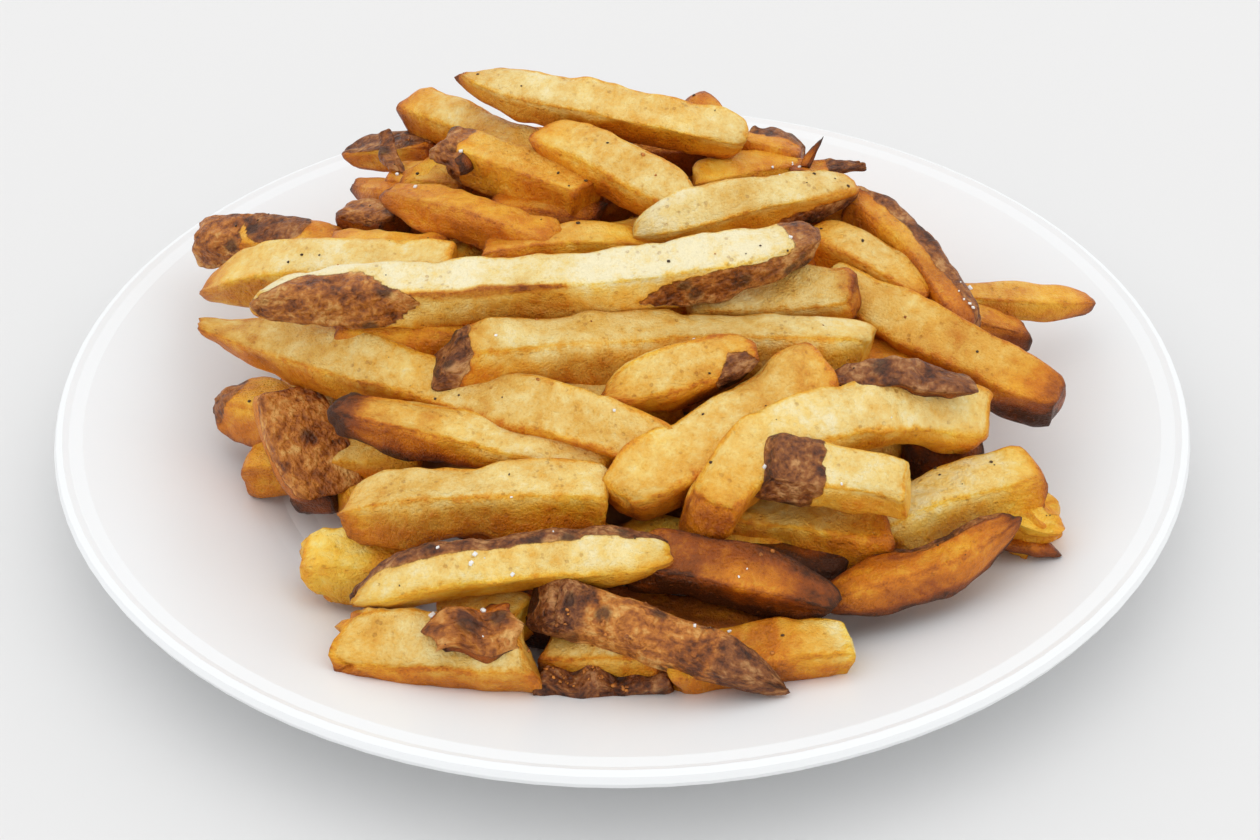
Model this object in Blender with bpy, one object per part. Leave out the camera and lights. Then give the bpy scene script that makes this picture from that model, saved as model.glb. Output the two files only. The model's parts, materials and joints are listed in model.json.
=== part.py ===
"""French fries heaped on a round white dinner plate.

Two solids in metres, +Z up, with the origin at the middle of the plate's foot.
The plate is a turned profile. The heap is one closed solid: a bar for each fry
and a low mound that they lie on are fused, thinned, and cut clear of the plate.
"""
import math
import random

import bmesh
import bpy
from mathutils import Vector

MM = 0.001

# Plate, in millimetres
PLATE_DIAMETER = 260.0
PLATE_HEIGHT = 21.0
PLATE_STEPS = 96
FOOT_RADIUS = 66.0
FOOT_WIDTH = 4.0
FOOT_HEIGHT = 2.0
FLOOR_THICKNESS = 3.5
FLOOR_RADIUS = 76.0
WELL_RADIUS = 92.0
WELL_RISE = 4.0
RIM_THICKNESS = 3.2
LIP_WIDTH = 6.5
LIP_RISE = 1.0
FLOOR_TOP = FOOT_HEIGHT + FLOOR_THICKNESS
PLATE_RADIUS = PLATE_DIAMETER / 2
LIP_RADIUS = PLATE_RADIUS - LIP_WIDTH
RIM_TOP = PLATE_HEIGHT - LIP_RISE

# Heap, in millimetres
CLEARANCE = 0.3
MOUND_RADII = (70.0, 64.0)
MOUND_HEIGHT = 38.0
BAR_STEPS = 9
CORNER = 0.3
TIP_LENGTH = 0.16
VOXEL = 2.0
HEAP_TRIANGLES = 6000

# One line for each fry of the heap: name, start, end, width and height, then
# sideways bow (to the left of its run), upward arch, where along it the bow
# and arch are greatest, and the size of its start and end against its middle.
FRIES = (
    ("front_left", (-57, -88, 17), (-20, -90, 15), 13, 12, 0, 0, 0.5, 1.0, 1.0),
    ("front_left_inner", (-38, -76, 17), (-19, -83, 18), 11, 9, 0, 0, 0.5, 1.0, 1.0),
    ("front_mid", (-16, -85, 14), (9, -90, 15), 11, 11, 0, 0, 0.5, 1.0, 1.0),
    ("front_right", (9, -90, 16), (46, -89, 17), 12, 12, 0, 0, 0.5, 1.0, 1.0),
    ("front_skin", (-16, -86, 27), (31, -100, 21), 12, 9, 0, 1, 0.5, 1.0, 0.4),
    ("left_stub", (-66, -61, 17), (-43, -64, 18), 13, 12, 0, 0, 0.5, 1.0, 0.8),
    ("skin_edged", (-53, -83, 24), (6, -75, 30), 12, 11, 0, 3, 0.5, 0.3, 0.9),
    ("toasted_front", (7, -75, 27), (43, -80, 21), 11, 9, 0, 1, 0.5, 1.0, 0.5),
    ("toasted_under", (24, -63, 20), (48, -66, 18), 11, 9, 0, 0, 0.5, 1.0, 1.0),
    ("toasted_right", (45, -70, 17), (82, -62, 24), 10, 9, -3, 0, 0.5, 1.0, 0.4),
    ("broad_left", (-57, -60, 32), (-5, -61, 33), 12, 12, 0, 1, 0.5, 1.0, 1.0),
    ("diagonal", (-1, -63, 34), (38, -35, 46), 12, 12, 0, 1, 0.5, 1.0, 1.0),
    ("arched", (16, -70, 32), (79, -38, 35), 11, 11, 9, 9, 0.45, 1.0, 1.0),
    ("skin_capped", (28, -60, 42), (60, -63, 37), 12, 10, 0, 0, 0.5, 1.0, 1.0),
    ("shaded_right", (21, -58, 24), (57, -62, 22), 12, 12, 0, 0, 0.5, 1.0, 1.0),
    ("pale_right", (55, -58, 20), (90, -46, 26), 13, 13, 1, 2, 0.5, 1.0, 1.0),
    ("torn_right", (72, -41, 17), (93, -48, 18), 12, 12, 0, 0, 0.5, 1.0, 1.0),
    ("under_arched", (61, -34, 26), (80, -33, 24), 11, 11, 0, 0, 0.5, 1.0, 1.0),
    ("left_low", (-83, -28, 15), (-44, -35, 24), 12, 12, 0, 0, 0.5, 1.0, 1.0),
    ("left_low_tip", (-72, -33, 12), (-62, -36, 14), 10, 8, 0, 0, 0.5, 1.0, 1.0),
    ("left_skin_slab", (-80, -19, 31), (-67, -37, 17), 12, 7, 0, 0, 0.5, 1.0, 1.0),
    ("left_ragged", (-90, -8, 20), (-70, -23, 24), 12, 12, 0, 0, 0.5, 1.0, 1.0),
    ("burnt_end", (-61, -37, 40), (-13, -52, 35), 10, 10, 0, 1, 0.5, 1.0, 1.0),
    ("long_left", (-93, -3, 36), (2, -49, 40), 12, 12, -1, 3, 0.5, 0.4, 1.0),
    ("second_long", (-38, -32, 50), (52, -24, 45), 11, 12, 3, 1, 0.6, 1.0, 1.0),
    ("wedge", (-1, -41, 48), (28, -34, 50), 10, 9, 0, 0, 0.5, 0.6, 0.8),
    ("long_top", (-80, -17, 54), (42, -1, 56), 11, 11, -9, 3, 0.66, 0.7, 0.8),
    ("under_long", (-65, -15, 44), (-31, -20, 46), 10, 10, 0, 0, 0.5, 1.0, 1.0),
    ("beside_long", (18, -8, 46), (52, -8, 48), 12, 12, 0, 0, 0.5, 1.0, 1.0),
    ("behind_long", (-32, 6, 50), (7, 10, 50), 10, 10, 0, 2, 0.6, 1.0, 1.0),
    ("behind_long_end", (-5, 14, 48), (18, 14, 50), 10, 10, 0, 0, 0.5, 1.0, 1.0),
    ("left_long", (-97, 20, 36), (-44, 6, 46), 11, 11, 0, 0, 0.5, 0.4, 1.0),
    ("far_left", (-103, 44, 32), (-66, 28, 40), 10, 9, 0, 0, 0.5, 1.0, 1.0),
    ("far_left_inner", (-69, 24, 42), (-42, 14, 46), 9, 9, 0, 0, 0.5, 1.0, 1.0),
    ("left_dark", (-67, 38, 42), (-53, 31, 44), 10, 8, 0, 0, 0.5, 1.0, 1.0),
    ("left_tip", (-66, 52, 42), (-48, 37, 46), 8, 7, 0, 0, 0.5, 1.0, 1.0),
    ("amber_left", (-53, 31, 50), (-20, 9, 54), 10, 10, -1, 1, 0.5, 0.6, 1.0),
    ("shaded_mid", (-31, 27, 50), (-5, 23, 50), 10, 10, 0, 0, 0.5, 1.0, 1.0),
    ("crest_right", (6, 8, 58), (53, 27, 56), 10, 10, -3, 2, 0.5, 0.6, 0.7),
    ("crest_right_rear", (16, 29, 56), (43, 42, 52), 10, 9, 0, 0, 0.5, 1.0, 1.0),
    ("crest_mid", (-17, 38, 62), (13, 14, 61), 11, 11, 0, 1, 0.5, 1.0, 1.0),
    ("rear_left", (-52, 70, 54), (-15, 38, 55), 10, 9, 0, 1, 0.5, 1.0, 1.0),
    ("ragged_left", (-39, 40, 57), (-7, 21, 56), 11, 11, 0, 0, 0.5, 1.0, 1.0),
    ("top_rear", (-38, 60, 65), (29, 37, 63), 10, 10, -4, 3, 0.5, 0.2, 0.8),
    ("rear_right", (27, 46, 58), (43, 43, 53), 9, 9, 0, 0, 0.5, 1.0, 1.0),
    ("rear_tip_left", (-9, 62, 64), (-5, 54, 62), 7, 7, 0, 0, 0.5, 1.0, 1.0),
    ("rear_tip_right", (17, 61, 62), (24, 51, 58), 7, 7, 0, 0, 0.5, 1.0, 1.0),
    ("rear_arc", (-68, 66, 42), (-45, 60, 48), 9, 8, 0, 0, 0.5, 1.0, 1.0),
    ("rear_pale", (-56, 47, 46), (-36, 41, 48), 10, 8, 0, 0, 0.5, 1.0, 1.0),
    ("curved_skin", (52, 29, 51), (78, -9, 38), 8, 10, 3, 1, 0.5, 0.8, 0.8),
    ("pale_rear_right", (45, 16, 47), (69, 1, 42), 11, 11, 0, 1, 0.5, 1.0, 1.0),
    ("long_right", (52, 1, 43), (96, -29, 33), 11, 11, 0, 1, 0.5, 1.0, 1.0),
    ("far_right", (83, 18, 31), (111, 20, 28), 7, 6, 0, 0, 0.5, 1.0, 0.6),
    ("far_right_low", (83, 10, 29), (95, 8, 27), 9, 9, 0, 0, 0.5, 1.0, 1.0),
    ("dark_chip", (46, -37, 49), (77, -41, 46), 9, 7, 0, 1, 0.5, 0.6, 0.6),
)

# Fries laid by rule in rows round a mound: the rows' heights and their numbers
# of fries, the arc they cover, the mound's reach and rise, and its middle.
REAR_ROWS = {
    "rows": ((16, 4), (27, 5), (38, 4), (47, 3)),
    "arc": (22, 158),
    "reach": (80.0, 80.0),
    "rise": 56.0,
    "middle": 8.0,
    "lengths": (40.0, 76.0),
    "seed": 30,
}
INNER_ROWS = {
    "rows": ((13, 9), (22, 8), (31, 6), (38, 4)),
    "arc": (0, 360),
    "reach": (74.0, 68.0),
    "rise": 37.0,
    "middle": 0.0,
    "lengths": (34.0, 62.0),
    "seed": 30,
}
CROWN_ROWS = {
    "rows": ((40, 6), (46, 4)),
    "arc": (0, 360),
    "reach": (54.0, 44.0),
    "rise": 46.0,
    "middle": 14.0,
    "lengths": (34.0, 56.0),
    "seed": 6,
}
ROW_SLANT = 26.0
ROW_PITCH = 0.12


def remove_objects():
    """Empty the scene, so that the script can run again."""
    for item in list(bpy.data.objects):
        bpy.data.objects.remove(item, do_unlink=True)


def plain_material(name, colour, roughness):
    """A Principled material of one colour."""
    material = bpy.data.materials.new(name)
    material.use_nodes = True
    shader = material.node_tree.nodes["Principled BSDF"]
    shader.inputs["Base Color"].default_value = (*colour, 1.0)
    shader.inputs["Roughness"].default_value = roughness
    shader.inputs["Metallic"].default_value = 0.0
    return material


def link_object(name, mesh, material=None):
    """Put a mesh in the scene under a name."""
    item = bpy.data.objects.new(name, mesh)
    bpy.context.scene.collection.objects.link(item)
    if material:
        mesh.materials.append(material)
    return item


def plate_top(radius):
    """Height of the plate's upper face at a radius inside the lip."""
    well_top = FLOOR_TOP + WELL_RISE
    slope = (RIM_TOP - well_top) / (LIP_RADIUS - WELL_RADIUS)
    if radius <= FLOOR_RADIUS:
        return FLOOR_TOP
    if radius >= WELL_RADIUS:
        return well_top + slope * (radius - WELL_RADIUS)
    run = WELL_RADIUS - FLOOR_RADIUS
    part = (radius - FLOOR_RADIUS) / run
    eased = part * part * (3 - 2 * part)
    leaning = part * part * (part - 1)
    return FLOOR_TOP + WELL_RISE * eased + slope * run * leaning


def well_radii():
    """Radii of the curved wall between the floor and the rim."""
    count = 4
    return [FLOOR_RADIUS + (WELL_RADIUS - FLOOR_RADIUS) * i / (count - 1) for i in range(count)]


def plate_profile():
    """The plate's outline at +X, from the top's middle over the lip to the foot."""
    points = [(0.0, FLOOR_TOP)]
    points += [(radius, plate_top(radius)) for radius in well_radii()]
    points.append((LIP_RADIUS, RIM_TOP))
    bead = 2.0
    for degrees in range(135, -91, -45):
        angle = math.radians(degrees)
        across = PLATE_RADIUS - bead + bead * math.cos(angle)
        points.append((across, PLATE_HEIGHT - bead + bead * math.sin(angle)))
    points.append((LIP_RADIUS, RIM_TOP - RIM_THICKNESS))
    points += [(radius, plate_top(radius) - FLOOR_THICKNESS) for radius in reversed(well_radii())]
    chamfer = 0.6
    points.append((FOOT_RADIUS + FOOT_WIDTH / 2 + chamfer, FOOT_HEIGHT))
    points.append((FOOT_RADIUS + FOOT_WIDTH / 2, 0.0))
    points.append((FOOT_RADIUS - FOOT_WIDTH / 2, 0.0))
    points.append((FOOT_RADIUS - FOOT_WIDTH / 2 - chamfer, FOOT_HEIGHT))
    points.append((0.0, FOOT_HEIGHT))
    return points


def turned_object(name, profile, material=None):
    """A solid of revolution about Z from an outline in millimetres."""
    mesh = bpy.data.meshes.new(name)
    outline = [(radius * MM, 0.0, height * MM) for radius, height in profile]
    mesh.from_pydata(outline, [(i, i + 1) for i in range(len(outline) - 1)], [])
    item = link_object(name, mesh, material)
    turn = item.modifiers.new("Turn", "SCREW")
    turn.steps = PLATE_STEPS
    turn.render_steps = PLATE_STEPS
    turn.use_merge_vertices = True
    turn.merge_threshold = 0.00001
    turn.use_smooth_shade = True
    return item


def make_plate():
    """The dinner plate with its well, sloping rim, rounded lip and foot ring."""
    glaze = plain_material("white_glaze", (0.90, 0.90, 0.89), 0.15)
    return turned_object("plate", plate_profile(), glaze)


def plate_cutter():
    """What the heap may not enter: the plate's space, raised by the clearance."""
    radii = [0.0] + well_radii() + [LIP_RADIUS, PLATE_RADIUS + 10]
    gap = CLEARANCE * 1.2
    profile = [(radius, plate_top(radius) + gap) for radius in radii]
    profile.append((PLATE_RADIUS + 10, -10.0))
    profile.append((0.0, -10.0))
    cutter = turned_object("plate_cutter", profile)
    cutter.hide_render = True
    cutter.display_type = "WIRE"
    return cutter


def fries_in_rows(plan):
    """Fries laid round a mound in rows, each with its own slant, size and bow."""
    draws = random.Random(plan["seed"])
    reach_x, reach_y = plan["reach"]
    low_angle, high_angle = plan["arc"]
    fries = []
    for height, count in plan["rows"]:
        shrink = math.sqrt(1 - ((height - FLOOR_TOP) / plan["rise"]) ** 2)
        for index in range(count):
            share = (index + 0.5 + draws.uniform(-0.25, 0.25)) / count
            angle = math.radians(low_angle + (high_angle - low_angle) * share)
            across = reach_x * math.cos(angle)
            inward = reach_y * math.sin(angle)
            middle = Vector((across * shrink, plan["middle"] + inward * shrink, height))
            heading = math.atan2(reach_y * math.cos(angle), -reach_x * math.sin(angle))
            heading += math.radians(draws.uniform(-ROW_SLANT, ROW_SLANT))
            pitch = draws.uniform(-ROW_PITCH, ROW_PITCH)
            run = Vector((math.cos(heading), math.sin(heading), pitch)).normalized()
            half = run * draws.uniform(*plan["lengths"]) / 2
            width = draws.uniform(9, 12)
            depth = draws.uniform(9, 12)
            bow = draws.uniform(-3, 3)
            ends = (draws.choice((0.4, 0.7, 1.0)), draws.choice((0.5, 0.8, 1.0)))
            fries.append(("row", middle - half, middle + half, width, depth, bow, 0, 0.5, *ends))
    return fries


def bar_rings(fry):
    """Rings of points along one fry, in metres: a bowed bar with blunt corners."""
    _name, start, end, width, height, bow, arch, peak, start_size, end_size = fry
    start, end = Vector(start), Vector(end)
    run = end - start
    side = Vector((0, 0, 1)).cross(run).normalized()
    warp = math.log(0.5) / math.log(peak)
    middles = []
    for step in range(BAR_STEPS):
        share = step / (BAR_STEPS - 1)
        swell = 4 * share ** warp * (1 - share ** warp)
        middles.append(start + run * share + side * bow * swell + Vector((0, 0, arch * swell)))
    rings = []
    for step, middle in enumerate(middles):
        share = step / (BAR_STEPS - 1)
        before = middles[max(step - 1, 0)]
        after = middles[min(step + 1, BAR_STEPS - 1)]
        across = Vector((0, 0, 1)).cross(after - before).normalized()
        upward = (after - before).normalized().cross(across)
        near_start = min(share / TIP_LENGTH, 1)
        near_end = min((1 - share) / TIP_LENGTH, 1)
        size = (start_size + (1 - start_size) * near_start) * (end_size + (1 - end_size) * near_end)
        ring = []
        for quarter in range(4):
            for flip in (False, True):
                u, v = (0.5, 0.5 - CORNER) if not flip else (0.5 - CORNER, 0.5)
                for _turn in range(quarter):
                    u, v = -v, u
                point = middle + across * u * width * size + upward * v * height * size
                ring.append(point * MM)
        rings.append(ring)
    return rings


def add_bar(shape, fry):
    """Add one closed bar to a bmesh."""
    rings = [[shape.verts.new(point) for point in ring] for ring in bar_rings(fry)]
    for before, after in zip(rings, rings[1:]):
        for corner in range(len(before)):
            shape.faces.new((before[corner - 1], before[corner], after[corner], after[corner - 1]))
    shape.faces.new(list(reversed(rings[0])))
    shape.faces.new(rings[-1])


def add_mound(shape):
    """Add the low mound inside the heap, down through the plate's floor."""
    sphere = bmesh.ops.create_uvsphere(shape, u_segments=40, v_segments=20, radius=1.0)
    radii = (*MOUND_RADII, MOUND_HEIGHT - FLOOR_TOP)
    bmesh.ops.scale(shape, vec=[radius * MM for radius in radii], verts=sphere["verts"])
    bmesh.ops.translate(shape, vec=(0, 0, FLOOR_TOP * MM), verts=sphere["verts"])


def keep_largest_shell(mesh):
    """Drop every shell of a mesh but its largest: closed pockets inside the heap."""
    shape = bmesh.new()
    shape.from_mesh(mesh)
    waiting = set(shape.verts)
    shells = []
    while waiting:
        edge_of_shell = [waiting.pop()]
        shell = set(edge_of_shell)
        while edge_of_shell:
            vert = edge_of_shell.pop()
            for edge in vert.link_edges:
                other = edge.other_vert(vert)
                if other in waiting:
                    waiting.remove(other)
                    shell.add(other)
                    edge_of_shell.append(other)
        shells.append(shell)
    shells.sort(key=len)
    for shell in shells[:-1]:
        bmesh.ops.delete(shape, geom=list(shell), context="VERTS")
    shape.to_mesh(mesh)
    shape.free()


def fused_mesh(item):
    """The object's mesh with its modifiers applied."""
    graph = bpy.context.evaluated_depsgraph_get()
    return bpy.data.meshes.new_from_object(item.evaluated_get(graph))


def make_heap():
    """All the fries and the mound under them as one closed solid."""
    shape = bmesh.new()
    add_mound(shape)
    for fry in FRIES:
        add_bar(shape, fry)
    for plan in (REAR_ROWS, INNER_ROWS, CROWN_ROWS):
        for fry in fries_in_rows(plan):
            add_bar(shape, fry)
    mesh = bpy.data.meshes.new("fries_heap")
    shape.to_mesh(mesh)
    shape.free()
    potato = plain_material("fried_potato", (0.78, 0.50, 0.18), 0.55)
    heap = link_object("fries_heap", mesh, potato)

    fuse = heap.modifiers.new("Fuse", "REMESH")
    fuse.mode = "VOXEL"
    fuse.voxel_size = VOXEL * MM
    heap.data = fused_mesh(heap)
    heap.modifiers.clear()
    keep_largest_shell(heap.data)

    clear = heap.modifiers.new("Clear of plate", "BOOLEAN")
    clear.operation = "DIFFERENCE"
    clear.solver = "EXACT"
    clear.object = plate_cutter()
    heap.data = fused_mesh(heap)
    heap.modifiers.clear()
    keep_largest_shell(heap.data)

    thin = heap.modifiers.new("Thin out", "DECIMATE")
    triangles = sum(len(face.vertices) - 2 for face in heap.data.polygons)
    thin.ratio = HEAP_TRIANGLES / triangles
    return heap


def main():
    """Build the plate and the heap."""
    remove_objects()
    make_plate()
    make_heap()


main()
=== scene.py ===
"""French fries heaped on a round white dinner plate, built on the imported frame.

The plate is the frame's own solid under a clear glaze. The heap's solid is
replaced by the fries themselves: each one that shows has a line of its own in
FRIES, the ones behind and beneath them are laid in rows round a mound, and a
smaller core fills what no one sees. Scraps of skin, crumbs, salt and pepper
lie on top. Sizes are in millimetres until a mesh is written, in metres.
"""
import functools
import itertools
import json
import math
import random
from dataclasses import dataclass

import bpy
import numpy as np
from bpy.props import FloatProperty, FloatVectorProperty, IntProperty, PointerProperty
from mathutils import Matrix, Vector
from mathutils.bvhtree import BVHTree

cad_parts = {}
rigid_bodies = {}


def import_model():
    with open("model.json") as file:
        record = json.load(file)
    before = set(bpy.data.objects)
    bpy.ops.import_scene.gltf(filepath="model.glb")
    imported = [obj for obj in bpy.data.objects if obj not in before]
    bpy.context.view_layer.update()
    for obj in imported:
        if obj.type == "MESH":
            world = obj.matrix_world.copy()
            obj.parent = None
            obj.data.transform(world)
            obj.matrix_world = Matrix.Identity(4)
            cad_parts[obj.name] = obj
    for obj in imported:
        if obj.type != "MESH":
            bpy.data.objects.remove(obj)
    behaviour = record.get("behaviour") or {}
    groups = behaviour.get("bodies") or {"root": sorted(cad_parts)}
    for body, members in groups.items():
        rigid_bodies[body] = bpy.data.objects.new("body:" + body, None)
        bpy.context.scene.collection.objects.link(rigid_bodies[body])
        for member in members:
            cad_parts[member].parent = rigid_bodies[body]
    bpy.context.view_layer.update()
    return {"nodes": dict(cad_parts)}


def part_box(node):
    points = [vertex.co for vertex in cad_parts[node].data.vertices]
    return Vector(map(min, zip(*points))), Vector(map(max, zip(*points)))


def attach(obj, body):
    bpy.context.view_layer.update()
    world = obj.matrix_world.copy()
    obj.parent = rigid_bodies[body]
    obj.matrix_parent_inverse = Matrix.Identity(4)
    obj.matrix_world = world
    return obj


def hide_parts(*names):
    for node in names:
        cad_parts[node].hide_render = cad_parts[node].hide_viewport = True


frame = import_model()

bl_info = {
    "name": "Plate of fries",
    "version": (1, 0, 0),
    "blender": (4, 5, 0),
    "location": "View3D > Sidebar > Fries",
    "description": "Dresses the packed plate and heap as a plate of french fries",
    "category": "Object",
}

MM = 0.001
HEAP_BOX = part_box("fries_heap")
PLATE_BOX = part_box("plate")
FLOOR_TOP = 5.5

# Where the plate's height is felt for, and how far what rests on it sinks in
PLATE_RADII = range(0, 127, 3)
REST_DEPTH = 0.3

# What a fry's own millimetres are worked out from
TIP_LENGTH = 0.16
CORNER_RADIUS = 3.4
ROUNDED_GAIN = 1.07
FACE_SAG = 0.45


@dataclass
class Fry:
    """One fry: where it lies, its form, and how it is browned.

    bow is sideways to the left of its run and arch is upward, both greatest at
    the share peak of its length. start_size and end_size are its ends' sizes
    against its middle, and leans the sides, left and up, that a narrow end
    keeps to. roll turns its top towards the right of its run, in degrees. A skin
    is (from, to, angle, spread, darkness) and a browning is (from, to, angle,
    spread, amount), with from and to as shares of the length, and angle and
    spread in degrees round the run, from left over the top to the right.
    """
    name: str
    start: tuple
    end: tuple
    width: float
    height: float
    bow: float = 0.0
    arch: float = 0.0
    peak: float = 0.5
    start_size: float = 1.0
    end_size: float = 1.0
    group: str = "pale_fries"
    toast: float = 0.2
    amber: float = 0.3
    tips: tuple = (0.25, 0.25)
    slants: tuple = ((0, 0), (0, 0))
    ragged: tuple = (0.5, 0.5)
    skins: tuple = ()
    browned: tuple = ()
    leans: tuple = (None, None)
    roll: float = 0.0
    twist: float = 0.0
    crumple: float = 0.0


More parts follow.
